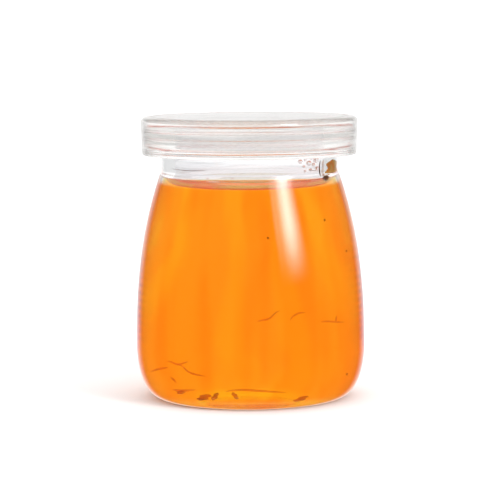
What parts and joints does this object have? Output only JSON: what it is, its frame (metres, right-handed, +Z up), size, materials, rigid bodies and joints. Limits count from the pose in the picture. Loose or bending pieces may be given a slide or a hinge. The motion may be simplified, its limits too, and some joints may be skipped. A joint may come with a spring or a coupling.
{
  "type": "glass pudding jar",
  "caption": "Squat clear glass pudding jar with sloping shoulders and a thick rim, filled with clear amber jelly and shut by a clear press-on plastic lid.",
  "frame": {"origin": "centre of the ring that the jar stands on, on the floor", "axes": "+Z up along the axis of revolution, through the middle of the lid"},
  "size_m": [0.066, 0.066, 0.0812],
  "materials": {
    "glass": "clear polished pressed glass",
    "jelly": "clear set jelly with a wet shine",
    "lid": "clear moulded plastic, faintly clouded"
  },
  "bodies": {
    "root": {"glass_jar": "glass", "jelly": "jelly", "press_on_lid": "lid"}
  },
  "joints": []
}
